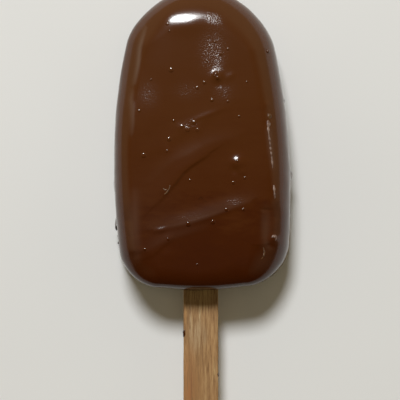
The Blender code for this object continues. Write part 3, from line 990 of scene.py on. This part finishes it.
# Streaks and stains in the wood, and one patch of painted light: middle, half width, half length,
# strength and colour
WOOD_STAINS_AND_PAINTED_LIGHT = [
    (-3.05, -53.5, 0.45, 7.5, 0.7, (0.56, 0.43, 0.25)),
    (-0.35, -51.5, 0.35, 4.5, 0.8, (0.60, 0.46, 0.25)),
    (-3.4, -76.0, 2.3, 20.0, 0.95, (0.33, 0.125, 0.034)),
    (-1.2, -72.0, 2.2, 12.0, 0.7, (0.27, 0.118, 0.030)),
    (3.6, -80.0, 2.2, 10.0, 0.5, (0.29, 0.125, 0.036)),
    (-2.75, -74.0, 0.22, 14.0, 0.75, (0.16, 0.060, 0.016)),
    (3.9, -67.0, 0.4, 4.0, 0.9, (0.62, 0.44, 0.20)),
    (3.0, -61.0, 1.6, 9.0, 0.45, (0.44, 0.24, 0.09)),
    (-4.4, -52.0, 0.5, 6.0, 0.6, (0.46, 0.22, 0.065)),
    (-1.2, -57.0, 2.4, 6.0, 0.55, (0.43, 0.32, 0.19)),
    (1.2, -57.0, 1.0, 3.6, 0.45, (0.26, 0.18, 0.10)),
    # painted light: paler wood where the bar's shadow falls on the stick
    (0.0, -45.0, 6.0, 4.6, 1.0, (0.50, 0.33, 0.13)),
]
MARK_HALF_HEIGHT = 6.0
# The grain breaks the marks up between these values
MARK_SPAN = (0.38, 0.58)
WOOD_STOPS = [
    (0.3, (0.17, 0.078, 0.020)),
    (0.5, (0.315, 0.170, 0.062)),
    (0.7, (0.48, 0.30, 0.130)),
]
WOOD_STRETCH = (1.0, 0.075, 1.0)
WOOD_ROUGHNESS = 0.62


def wood_material():
    """Pale wood with fine long grain, streaks and stains, and painted light that lifts the bar's
    shadow on the stick.
    """
    made, tree, surface = node_material("stick_wood")
    where = new_node(tree, "ShaderNodeTexCoord").outputs["Object"]
    drawn = stretched(tree, where, WOOD_STRETCH)
    grain = noise(tree, drawn, scale=2300.0, detail=6.0, roughness=0.7)
    color = ramp_of(tree, grain, WOOD_STOPS)
    broken = mapped(tree, grain, MARK_SPAN)
    for at_x, at_y, wide, long, strength, stain_or_light_color in WOOD_STAINS_AND_PAINTED_LIGHT:
        middle, half = (at_x, at_y, STICK_HEIGHT), (wide, long, MARK_HALF_HEIGHT)
        near = patch(tree, where, middle, half, strength)
        color = painted_over(tree, combined(tree, "MULTIPLY", near, broken), color, stain_or_light_color)
    tree.links.new(color, surface.inputs["Base Color"])
    bump = bumped(tree, grain, strength=0.35, distance=0.0001)
    tree.links.new(bump.outputs["Normal"], surface.inputs["Normal"])
    surface.inputs["Roughness"].default_value = WOOD_ROUGHNESS
    return made


FLOOR_STOPS = [(0.3, (0.735, 0.74, 0.735)), (0.7, (0.76, 0.765, 0.76))]
FLOOR_ROUGHNESS = 0.6
FLOOR_SPECULAR = 0.2


def floor_material():
    """Plain pale floor."""
    made, tree, surface = node_material("pale_floor")
    where = new_node(tree, "ShaderNodeTexCoord").outputs["Object"]
    tone = ramp_of(tree, noise(tree, where, scale=9.0, detail=2.0), FLOOR_STOPS)
    tree.links.new(tone, surface.inputs["Base Color"])
    surface.inputs["Roughness"].default_value = FLOOR_ROUGHNESS
    surface.inputs["Specular IOR Level"].default_value = FLOOR_SPECULAR
    return made


# The bar
bar = add(bar_mesh(), "chocolate_skin")
bar.data.materials.append(chocolate_material())
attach(bar, "root")
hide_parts("chocolate_bar")

# The stick
stick = add(stick_mesh(), "wood_stick")
stick.data.materials.append(wood_material())
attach(stick, "root")
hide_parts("stick")

# Specks of coating on the stick
specks = add(speck_mesh("stick_specks", STICK_SPECKS), "stick_specks")
specks.data.materials.append(bar.data.materials[0])
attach(specks, "root")

# Drips on the bar's walls, coloured dark as painted shade
drips = add(speck_mesh("wall_drips", WALL_DRIPS), "wall_drips")
drips.data.materials.append(loose_material("drips_painted_dark"))
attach(drips, "root")

# Air bubbles just under the coating
face_points, face_ways = face_spots()
bubbles = add(bubble_mesh(face_points, face_ways), "coating_bubbles")
bubbles.data.materials.append(bar.data.materials[0])
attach(bubbles, "root")

# Thin strands: golden ones of lighter coating, and pale ones whose colour is a painted highlight
for name, lines in (("golden_strands", GOLDEN_STRANDS), ("strands_painted_highlight", STRANDS_PAINTED_HIGHLIGHT)):
    strands = add(strand_mesh(name, lines, face_points, face_ways), name)
    strands.data.materials.append(loose_material(name))
    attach(strands, "root")

# The thin pale strand at the foot of the end corners, a painted reflection line
foot_lines = [edge_line(*run) for run in EDGE_RUNS]
foot_spots = np.array([(at_x, at_y, FOOT_HEIGHT) for line in foot_lines for at_x, at_y in line])
foot_ways = np.tile((0.0, 0.0, 1.0), (len(foot_spots), 1))
foot_strands = [(line, *EDGE_SHAPE) for line in foot_lines]
edges = add(strand_mesh("edge_strands", foot_strands, foot_spots, foot_ways), "edge_strands")
edges.data.materials.append(loose_material("foot_edge_painted_reflection"))
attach(edges, "root")

# Floor
FLOOR_SIZE = 2.4
FLOOR_PARTS = 8
bm = bmesh.new()
bmesh.ops.create_grid(bm, x_segments=FLOOR_PARTS, y_segments=FLOOR_PARTS, size=FLOOR_SIZE / 2.0)
floor_mesh = bpy.data.meshes.new("floor")
bm.to_mesh(floor_mesh)
bm.free()
floor = add(floor_mesh, "floor")
floor.data.materials.append(floor_material())

# Camera: straight down over the middle of the picture, which the bar's tip runs out of
VIEW_HEIGHT = 427.8
VIEW_X = -0.235
VIEW_Y = -18.0
VIEW_WIDTH = 117.5
SENSOR = 36.0
camera_data = bpy.data.cameras.new("camera")
camera_data.sensor_width = SENSOR
camera_data.lens = SENSOR * (VIEW_HEIGHT - FOOT_HEIGHT) / VIEW_WIDTH
camera_data.clip_start = 0.01
camera_data.clip_end = 10.0
camera = bpy.data.objects.new("camera", camera_data)
camera.location = Vector((BAR_SHIFT_X + VIEW_X, BAR_SHIFT_Y + VIEW_Y, VIEW_HEIGHT)) * MM
bpy.context.scene.collection.objects.link(camera)
bpy.context.scene.camera = camera

# Light
LAMP_TARGET = (0.0, 0.028, 0.01)


def lamp(name, azimuth, elevation, distance, size, power, color):
    """An oval soft light of that width and height, aimed at the bar.

    The azimuth is in degrees from +Y toward -X.
    """
    a, e = math.radians(azimuth), math.radians(elevation)
    way = Vector((-math.sin(a) * math.cos(e), math.cos(a) * math.cos(e), math.sin(e)))
    data = bpy.data.lights.new(name, "AREA")
    data.shape = "ELLIPSE"
    data.size, data.size_y = size
    data.energy = power
    data.color = color
    made = bpy.data.objects.new(name, data)
    made.location = Vector(LAMP_TARGET) + way * distance
    made.rotation_mode = "QUATERNION"
    made.rotation_quaternion = way.to_track_quat("Z", "Y")
    bpy.context.scene.collection.objects.link(made)
    return made


lamp(
    "key",
    azimuth=13.0,
    elevation=59.3,
    distance=1.40,
    size=(0.40, 0.30),
    power=16.9,
    color=(0.985, 1.0, 1.01),
)
fill = lamp(
    "fill",
    azimuth=180.0,
    elevation=75.0,
    distance=1.20,
    size=(1.2, 1.2),
    power=1.3,
    color=(1.0, 0.83, 0.52),
)
fill.visible_glossy = False

# A warm surround that is dim overhead and beyond the stick end
SKY_WARM = (0.40, 0.335, 0.21)
SKY_DIM = (0.045, 0.042, 0.038)
SKY_STOPS = [(0.0, SKY_WARM), (0.55, SKY_WARM), (0.85, SKY_DIM)]
SKY_SPAN = (-0.75, 0.05)
SKY_STRENGTH = (0.05, 1.0)
world = bpy.data.worlds.new("studio")
bpy.context.scene.world = world
world.use_nodes = True
sky = world.node_tree
sky_where = new_node(sky, "ShaderNodeTexCoord")
sky_axes = new_node(sky, "ShaderNodeSeparateXYZ")
sky.links.new(sky_where.outputs["Generated"], sky_axes.inputs["Vector"])
sky_tone = ramp_of(sky, sky_axes.outputs["Z"], SKY_STOPS)
sky_side = mapped(sky, sky_axes.outputs["Y"], SKY_SPAN, SKY_STRENGTH, smooth=True)
sky.links.new(sky_tone, sky.nodes["Background"].inputs["Color"])
sky.links.new(sky_side, sky.nodes["Background"].inputs["Strength"])

bpy.context.scene.view_settings.view_transform = "Standard"
